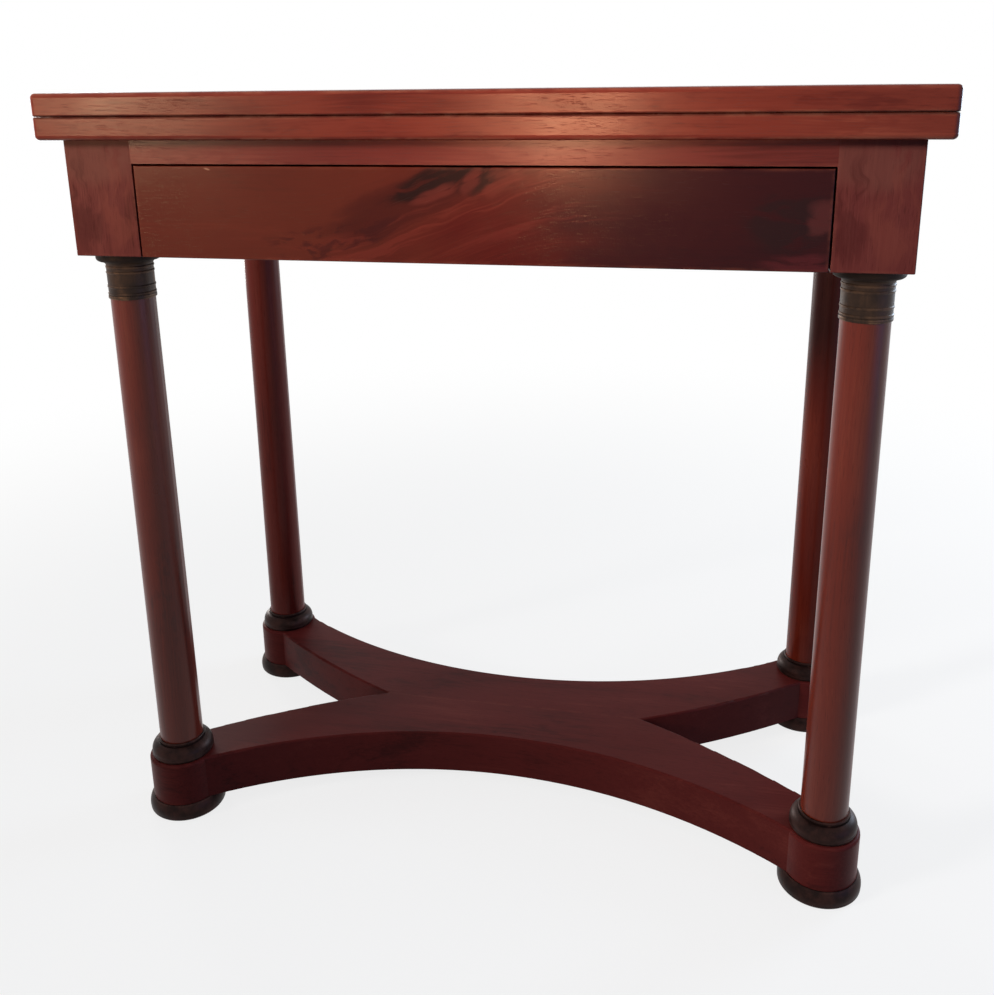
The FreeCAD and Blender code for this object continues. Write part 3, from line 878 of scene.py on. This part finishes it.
# A lighter copy of that for the rear left column: painted light, brought back up to how bright it
# shows
REAR_LEFT_LIT_MAHOGANY = replace(
    REAR_SHADED_MAHOGANY,
    name="rear_left_lit_mahogany",
    dark=srgb(68, 18, 12),
    mid=srgb(99, 33, 25),
    light=srgb(114, 47, 37),
)
BASE_MAHOGANY = WoodFinish(
    "base_mahogany",
    dark=srgb(62, 21, 20),
    mid=srgb(88, 31, 29),
    light=srgb(104, 44, 39),
    worn=srgb(120, 60, 50),
    gloss=0.05,
    polish=0.38,
)
DRAWER_VENEER = SweptVeneer(
    "drawer_veneer",
    dark=srgb(56, 10, 7),
    mid=srgb(77, 16, 10),
    light=srgb(98, 31, 22),
    worn=srgb(136, 74, 56),
    figure=0.7,
    stripe=0.6,
    gloss=0.10,
    polish=0.18,
    patches=(
        # The lighter, warmer left part, partly painted light that is strongest towards the upper left,
        # and the darker right end, partly painted shade
        Patch(-0.330, 0.020, 0.340, 0.300, srgb(104, 48, 32), 0.46, (6.0, 20.0), 0.80),
        Patch(0.275, -0.070, 0.215, 0.300, srgb(42, 9, 14), 0.82, (6.0, 20.0), 0.80),
        # The plume: its dark ground, light streaks through it and a dark tail
        Patch(-0.050, -0.014, 0.075, 0.024, srgb(56, 13, 9), 0.65, (10.0, 60.0), 0.64),
        Patch(-0.040, -0.038, 0.130, 0.016, srgb(112, 42, 32), 0.42, (8.0, 160.0), 0.47),
        Patch(-0.115, -0.026, 0.060, 0.014, srgb(54, 14, 13), 0.60, (42.0, 130.0), 0.45),
        # The dark swirls in the middle, and the light ones that break them
        Patch(-0.018, -0.004, 0.052, 0.013, srgb(24, 7, 5), 0.88, (18.0, 100.0), 0.56),
        Patch(0.021, -0.016, 0.026, 0.014, srgb(28, 8, 6), 0.85, (28.0, 95.0), 0.55),
        Patch(-0.023, -0.0150, 0.022, 0.0060, srgb(98, 38, 31), 0.70, (30.0, 120.0), 0.60),
        Patch(0.009, -0.017, 0.011, 0.010, srgb(98, 37, 30), 0.65, (40.0, 110.0), 0.58),
        Patch(0.038, -0.025, 0.016, 0.011, srgb(98, 36, 28), 0.60, (36.0, 120.0), 0.56),
        # Light streaks below the swirls
        Patch(0.060, -0.066, 0.070, 0.012, srgb(102, 36, 30), 0.36, (12.0, 150.0), 0.46),
        # The knot near the right end, and the lighter wood round it
        Patch(0.278, -0.105, 0.034, 0.010, srgb(92, 32, 36), 0.50, (20.0, 70.0), 0.56),
        Patch(0.268, -0.072, 0.036, 0.024, srgb(34, 16, 17), 0.70, (26.0, 70.0), 0.54),
        Patch(0.292, -0.068, 0.014, 0.016, srgb(92, 42, 40), 0.55, (40.0, 80.0), 0.60),
        # A small chip near the upper left corner
        Patch(-0.226, 0.0395, 0.0030, 0.0011, srgb(176, 128, 104), 0.60, (150.0, 300.0), 0.70),
    ),
)
OAK = WoodFinish(
    "oak",
    dark=srgb(112, 80, 48),
    mid=srgb(150, 114, 74),
    light=srgb(176, 142, 98),
    worn=srgb(160, 126, 84),
    figure=0.6,
    stripe=0.8,
    mottle=0.05,
    pores=0.75,
    polish=0.62,
    relief=0.35,
)
BRONZE = MetalFinish(
    "bronze",
    patina=srgb(42, 30, 24),
    body=srgb(76, 54, 40),
    bare=srgb(122, 90, 66),
    polish=0.44,
    metallic=0.50,
    gloss=0.20,
    rub=0.75,
    # The capitals get painted shade above this height, for the shadow under the frieze
    painted_shade_height=CAPITAL_PAINTED_SHADE,
)
DARK_BRONZE = MetalFinish(
    "dark_bronze",
    patina=srgb(30, 17, 15),
    body=srgb(52, 31, 27),
    bare=srgb(86, 56, 48),
    polish=0.44,
    metallic=0.40,
    gloss=0.11,
    rub=0.8,
)
BRASS = MetalFinish(
    "aged_brass",
    patina=srgb(84, 62, 32),
    body=srgb(138, 104, 54),
    bare=srgb(170, 136, 80),
    polish=0.46,
    metallic=0.85,
    gloss=0.4,
)
IRON = MetalFinish(
    "dark_iron",
    patina=srgb(30, 28, 27),
    body=srgb(58, 55, 52),
    bare=srgb(110, 106, 102),
    polish=0.48,
    metallic=0.9,
    gloss=0.5,
)
BAIZE = FeltFinish("green_baize", shade=srgb(14, 48, 27), tip=srgb(34, 88, 50))


def dress(node: str, material: bpy.types.Material, nodes: dict[str, bpy.types.Object]) -> None:
    """Give a CAD node its material.

    Args:
        node: The node's name.
        material: The material.
        nodes: The frame's nodes by name.
    """
    piece = nodes[node]
    if not piece.material_slots:
        piece.data.materials.append(material)
    for slot in piece.material_slots:
        slot.material = material
    log.info("%s dressed in %s", node, material.name)


@dataclass(frozen=True)
class Leaf:
    """One leaf of the top.

    Attributes:
        name: Its name in the names of its pieces.
        body: The body that it rides on.
        face_up: Whether its playing face looks up when the top is folded.
        ripple_shift: What makes the ripples of its lining its own.
    """

    name: str
    body: str
    face_up: bool
    ripple_shift: float


@dataclass
class Top:
    """The two leaves with their linings and side hinges."""

    nodes: dict[str, bpy.types.Object]
    wood: WoodFinish = TOP_MAHOGANY
    felt: FeltFinish = BAIZE
    hinge: MetalFinish = BRASS
    leaves: tuple[Leaf, ...] = (
        Leaf("lower", body="top", face_up=True, ripple_shift=0.0),
        Leaf("upper", body="leaf", face_up=False, ripple_shift=2.0),
    )
    lining_cells: tuple[int, int] = (110, 56)
    lining_margin: float = 0.0004
    lining_depth: float = 0.00005
    lining_thickness: float = 0.0009
    lining_waver: float = 0.00006
    lining_round: float = 0.0004
    rim_segments: int = 3
    ripple_rate: Pair = (61.0, 83.0)
    ripple_start: float = 2.0

    def build(self) -> None:
        """Dress the leaves and hinges and lay the linings."""
        brass = self.hinge.material()
        felt = self.felt.material()
        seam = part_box("lower_leaf")[1].z
        for board, leaf in enumerate(self.leaves, start=1):
            node = f"{leaf.name}_leaf"
            dress(node, self.wood.material(node, Grain.ALONG_X, board, seam), self.nodes)
            for side in SIDES:
                dress(f"hinge_plate_{leaf.name}_{side}", brass, self.nodes)
            dress(f"hinge_screws_{leaf.name}", brass, self.nodes)
            self.lay(leaf, felt)
        dress("hinge_pins", brass, self.nodes)

    def cut(self, leaf: Leaf, size: Vector) -> bmesh.types.BMesh:
        """Cut one lining about the origin, with its slightly rippled nap side up and a rounded rim.

        Args:
            leaf: The leaf that it is for.
            size: Its width along X and its depth along Y.

        Returns:
            The closed mesh.
        """
        mesh = bmesh.new()
        across, along = self.lining_cells
        bmesh.ops.create_grid(mesh, x_segments=across, y_segments=along, size=0.5)
        bmesh.ops.scale(mesh, vec=Vector((size.x, size.y, 1.0)), verts=mesh.verts)
        rate_x, rate_y = self.ripple_rate
        for vertex in mesh.verts:
            ripple = math.sin(rate_x * vertex.co.x + self.ripple_start)
            ripple *= math.cos(rate_y * vertex.co.y + leaf.ripple_shift)
            vertex.co.z -= self.lining_waver * (1.0 + ripple)
        rim = [edge for edge in mesh.edges if edge.is_boundary]
        grown = bmesh.ops.extrude_edge_only(mesh, edges=rim)["geom"]
        skirt = [part for part in grown if isinstance(part, bmesh.types.BMVert)]
        bmesh.ops.translate(mesh, vec=Vector((0.0, 0.0, -self.lining_thickness)), verts=skirt)
        bmesh.ops.bevel(
            mesh,
            geom=rim,
            offset=self.lining_round,
            affect="EDGES",
            segments=self.rim_segments,
            profile=0.5,
            material=-1,
        )
        bottom = [edge for edge in mesh.edges if edge.is_boundary]
        bmesh.ops.contextual_create(mesh, geom=bottom)
        bmesh.ops.recalc_face_normals(mesh, faces=mesh.faces)
        return mesh

    def lay(self, leaf: Leaf, felt: bpy.types.Material) -> None:
        """Lay one lining in its recess, with its nap side towards the other leaf.

        Args:
            leaf: The leaf that it lies in.
            felt: Its material.
        """
        low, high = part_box(f"{leaf.name}_baize")
        size = high - low - Vector((2 * self.lining_margin, 2 * self.lining_margin, 0.0))
        middle = (low + high) / 2
        level = high.z - self.lining_depth if leaf.face_up else low.z + self.lining_depth
        turn = Matrix.Rotation(0.0 if leaf.face_up else math.pi, 4, "X")
        place = Matrix.Translation((middle.x, middle.y, level)) @ turn
        mesh = self.cut(leaf, size)
        bmesh.ops.transform(mesh, matrix=place, verts=mesh.verts)
        data = bpy.data.meshes.new(f"{leaf.name}_lining")
        mesh.to_mesh(data)
        mesh.free()
        data.polygons.foreach_set("use_smooth", [True] * len(data.polygons))
        data.materials.append(felt)
        piece = bpy.data.objects.new(f"{leaf.name}_lining", data)
        bpy.context.scene.collection.objects.link(piece)
        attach(piece, leaf.body)
        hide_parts(f"{leaf.name}_baize")
        log.info("%s laid, %.0f by %.0f mm", piece.name, size.x * 1000, size.y * 1000)


@dataclass
class Frieze:
    """The framed frieze under the top, with its inner rails."""

    nodes: dict[str, bpy.types.Object]
    wood: WoodFinish = FRIEZE_MAHOGANY
    post: WoodFinish = POST_MAHOGANY
    inner: WoodFinish = OAK
    first_board: int = 11

    def build(self) -> None:
        """Dress every rail and post with the grain along it."""
        boards = [("front_top_rail", Grain.ALONG_X), ("rear_rail", Grain.ALONG_X)]
        boards += [(f"side_rail_{side}", Grain.ALONG_Y) for side in SIDES]
        boards += [(f"corner_post_{corner}", Grain.ALONG_Z) for corner in CORNERS]
        for board, (node, grain) in enumerate(boards, start=self.first_board):
            wood = self.post if grain is Grain.ALONG_Z else self.wood
            dress(node, wood.material(node, grain, board), self.nodes)
        hidden = [("front_lower_rail", Grain.ALONG_X), ("pivot_rail", Grain.ALONG_Y)]
        hidden += [("stop_blocks", Grain.ALONG_Y)]
        for kind in ("runner", "guide", "kicker"):
            hidden += [(f"drawer_{kind}_{side}", Grain.ALONG_Y) for side in SIDES]
        for board, (node, grain) in enumerate(hidden, start=self.first_board + len(boards)):
            dress(node, self.inner.material(node, grain, board), self.nodes)


@dataclass
class Drawer:
    """The drawer: a veneered front on a plain oak box."""

    nodes: dict[str, bpy.types.Object]
    veneer: SweptVeneer = DRAWER_VENEER
    box_wood: WoodFinish = OAK
    front_board: int = 7
    first_board: int = 41

    def build(self) -> None:
        """Dress the front and the box."""
        veneer = self.veneer.material("drawer_front", Grain.ALONG_X, self.front_board)
        dress("drawer_front", veneer, self.nodes)
        boards = [("drawer_back", Grain.ALONG_X), ("drawer_bottom", Grain.ALONG_X)]
        boards += [(f"drawer_side_{side}", Grain.ALONG_Y) for side in SIDES]
        for board, (node, grain) in enumerate(boards, start=self.first_board):
            dress(node, self.box_wood.material(node, grain, board), self.nodes)


@dataclass
class Supports:
    """The four columns with their bronzes, and the X-shaped base on its feet."""

    nodes: dict[str, bpy.types.Object]
    column_wood: WoodFinish = COLUMN_MAHOGANY
    # The rear columns take darker and lighter copies of the column wood, as painted shade and painted
    # light
    rear_woods: dict[str, WoodFinish] = field(
        default_factory=lambda: {"rear_left": REAR_LEFT_LIT_MAHOGANY, "rear_right": REAR_SHADED_MAHOGANY}
    )
    base_wood: WoodFinish = BASE_MAHOGANY
    dowel_wood: WoodFinish = OAK
    capital_metal: MetalFinish = BRONZE
    foot_metal: MetalFinish = DARK_BRONZE
    first_board: int = 51
    dowel_board: int = 61

    def build(self) -> None:
        """Dress the columns, bronzes and base."""
        bronze = self.capital_metal.material()
        dark = self.foot_metal.material()
        for board, corner in enumerate(CORNERS, start=self.first_board):
            node = f"column_{corner}"
            wood = self.rear_woods.get(corner, self.column_wood)
            dress(node, wood.material(node, Grain.ALONG_Z, board), self.nodes)
            dress(f"capital_{corner}", bronze, self.nodes)
            for kind in ("base_ring", "foot"):
                dress(f"{kind}_{corner}", dark, self.nodes)
        halves = ("base_front", "base_rear")
        for board, node in enumerate(halves, start=self.first_board + len(CORNERS)):
            dress(node, self.base_wood.material(node, Grain.ALONG_X, board), self.nodes)
        oak = self.dowel_wood.material("base_dowels", Grain.ALONG_Y, self.dowel_board)
        dress("base_dowels", oak, self.nodes)


@dataclass
class Swivel:
    """The pivot that the top turns on, and its stop peg. Its bush shares the hinges' brass."""

    nodes: dict[str, bpy.types.Object]
    iron: MetalFinish = IRON
    bush: MetalFinish = BRASS

    def build(self) -> None:
        """Dress the ironwork and the bush."""
        dark = self.iron.material()
        for kind in ("plate", "plate_screws", "bolt", "washer", "nut"):
            dress(f"pivot_{kind}", dark, self.nodes)
        dress("stop_peg", dark, self.nodes)
        dress("pivot_bush", bpy.data.materials[self.bush.name], self.nodes)


@dataclass(frozen=True)
class Lamp:
    """One soft round lamp.

    Attributes:
        name: Its name.
        place: Where it hangs.
        aim: What it points at.
        size: Its width.
        power: Its power in watts.
        colour: Its colour.
        beam: How wide its light spreads, in degrees.
        mirrored: Whether polished surfaces show it.
    """

    name: str
    place: Triple
    aim: Triple
    size: float
    power: float
    colour: Colour
    beam: float = 180.0
    mirrored: bool = True

    def light(self) -> None:
        """Hang the lamp."""
        data = bpy.data.lights.new(self.name, "AREA")
        data.shape = "DISK"
        data.size = self.size
        data.energy = self.power
        data.color = self.colour
        data.spread = math.radians(self.beam)
        lamp = bpy.data.objects.new(self.name, data)
        lamp.visible_glossy = self.mirrored
        lamp.location = self.place
        way = Vector(self.aim) - Vector(self.place)
        lamp.rotation_euler = way.to_track_quat("-Z", "Y").to_euler()
        bpy.context.scene.collection.objects.link(lamp)
        log.info("lamp %s hung", self.name)


@dataclass
class Studio:
    """A pale floor, soft lamps, and a camera at the photographed angle."""

    lamps: tuple[Lamp, ...] = (
        Lamp(
            "key_lamp", place=(-3.11, -2.35, 1.9), aim=(0.16, -0.21, 0.90), size=0.9,
            power=7.4, colour=(1.0, 0.95, 0.89), beam=30.0, mirrored=False,
        ),
        # Two small warm lamps that show as the lights on the polished front
        Lamp(
            "side_glint", place=(-1.745, -2.586, 0.82), aim=(-0.29, -0.19, 0.76), size=0.35,
            power=0.26, colour=(1.0, 0.68, 0.40), beam=18.0,
        ),
        Lamp(
            "front_glint", place=(-0.228, -2.315, 0.710), aim=(0.09, -0.19, 0.730), size=0.14,
            power=0.116, colour=(1.0, 0.50, 0.27), beam=12.0,
        ),
        # Cool light from the right, and light for the back
        Lamp(
            "rim_lamp", place=(2.0, 1.7, 0.9), aim=(0.0, 0.0, 0.45), size=1.2,
            power=40.0, colour=(0.62, 0.80, 1.0),
        ),
        Lamp(
            "window_sheen", place=(2.0, -0.9, 0.6), aim=(0.2, -0.1, 0.45), size=1.6,
            power=6.5, colour=(0.10, 0.24, 1.0),
        ),
        Lamp(
            "back_lamp", place=(-2.4, 2.4, 0.6), aim=(0.0, 0.0, 0.4), size=1.1,
            power=42.0, colour=(1.0, 0.95, 0.90),
        ),
    )
    ambient_side: float = 0.10
    ambient_top: float = 0.42
    ambient_height: float = 0.9
    floor_reach: float = 12.0
    floor_segments: int = 96
    floor_roughness: float = 0.9
    floor_colour: Colour = (0.86, 0.86, 0.86)
    floor_bounce: Colour = (0.14, 0.14, 0.145)
    fade_start: float = 0.6
    fade_end: float = 1.9
    near_white: float = 0.80
    eye: Triple = (0.21724, -1.03994, 0.75112)
    yaw: float = 0.20274
    pitch: float = 0.27970
    roll: float = -0.01085
    focal_pixels: float = 1048.5
    centre_pixel: Pair = (511.2, 388.1)
    sensor: float = 36.0

    def build(self) -> None:
        """Set up the whole studio."""
        self.world()
        self.floor()
        for lamp in self.lamps:
            lamp.light()
        self.camera()
        bpy.context.scene.view_settings.view_transform = "Standard"

    def seen(self, bench: Bench) -> Socket:
        """1 for rays that show the background itself: camera, glossy and transmission rays.

        Args:
            bench: The tree that needs it.

        Returns:
            The factor.
        """
        path = bench.add("ShaderNodeLightPath").outputs
        shown = bench.maths("MAXIMUM", path["Is Camera Ray"], path["Is Glossy Ray"])
        return bench.maths("MAXIMUM", shown, path["Is Transmission Ray"])

    def world(self) -> None:
        """White background with a quieter light that comes mostly from above."""
        world = bpy.data.worlds.new("studio_world")
        world.use_nodes = True
        bench = Bench(world.node_tree)
        back = world.node_tree.nodes["Background"]
        up = bench.parts(bench.add("ShaderNodeTexCoord").outputs["Generated"])[2]
        soft = bench.span(up, 0.0, self.ambient_height, self.ambient_side, self.ambient_top)
        level = bench.span(self.seen(bench), 0.0, 1.0, soft, 1.0)
        bench.feed(back.inputs["Color"], (1.0, 1.0, 1.0, 1.0))
        bench.feed(back.inputs["Strength"], level)
        bpy.context.scene.world = world

    def floor(self) -> None:
        """Pale floor that keeps the shadow and fades into the background."""
        mesh = bmesh.new()
        bmesh.ops.create_circle(
            mesh, cap_ends=True, segments=self.floor_segments, radius=self.floor_reach
        )
        data = bpy.data.meshes.new("floor")
        mesh.to_mesh(data)
        mesh.free()
        floor = bpy.data.objects.new("floor", data)
        bpy.context.scene.collection.objects.link(floor)
        made = Surface("pale_floor")
        bench = made.bench
        path = bench.add("ShaderNodeLightPath").outputs
        tint = bench.mix(path["Is Diffuse Ray"], opaque(self.floor_colour), opaque(self.floor_bounce))
        made.set(Base_Color=tint, Roughness=self.floor_roughness, Specular_IOR_Level=0.0)
        glow = bench.add("ShaderNodeEmission")
        away = bench.vector("LENGTH", made.place)
        far = bench.span(away, self.fade_start, self.fade_end, self.near_white, 1.0)
        join = bench.add("ShaderNodeMixShader")
        bench.feed(join.inputs[0], bench.maths("MULTIPLY", far, self.seen(bench)))
        bench.feed(join.inputs[1], made.shader.outputs[0])
        bench.feed(join.inputs[2], glow.outputs[0])
        surface = made.material.node_tree.nodes["Material Output"].inputs["Surface"]
        bench.feed(surface, join.outputs[0])
        data.materials.append(made.material)
        log.info("floor laid")

    def camera(self) -> None:
        """Camera where the photograph was taken, with its framing."""
        data = bpy.data.cameras.new("camera")
        data.sensor_fit = "HORIZONTAL"
        data.sensor_width = self.sensor
        data.lens = self.focal_pixels * self.sensor / PHOTO_WIDTH
        data.shift_x = (PHOTO_WIDTH / 2 - self.centre_pixel[0]) / PHOTO_WIDTH
        data.shift_y = (self.centre_pixel[1] - PHOTO_HEIGHT / 2) / PHOTO_WIDTH
        ahead = Vector((
            -math.sin(self.yaw) * math.cos(self.pitch),
            math.cos(self.yaw) * math.cos(self.pitch),
            -math.sin(self.pitch),
        ))
        level = Vector((math.cos(self.yaw), math.sin(self.yaw), 0.0))
        upright = level.cross(ahead)
        right = level * math.cos(self.roll) + upright * math.sin(self.roll)
        up = upright * math.cos(self.roll) - level * math.sin(self.roll)
        turn = Matrix((right, up, -ahead)).transposed().to_4x4()
        camera = bpy.data.objects.new("camera", data)
        camera.matrix_world = Matrix.Translation(self.eye) @ turn
        bpy.context.scene.collection.objects.link(camera)
        bpy.context.scene.camera = camera
        log.info("camera placed")


def main() -> None:
    """Load the frame, dress every sub-assembly and set up the studio."""
    logging.basicConfig(level=logging.INFO, format="%(message)s")
    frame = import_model()
    for effect in (WoodGrain, FlameFigure, ArrisWear, OldMetal, FeltedWool):
        effect().build()
    for assembly in (Top, Frieze, Drawer, Supports, Swivel):
        assembly(frame["nodes"]).build()
    Studio().build()


if __name__ == "__main__":
    main()
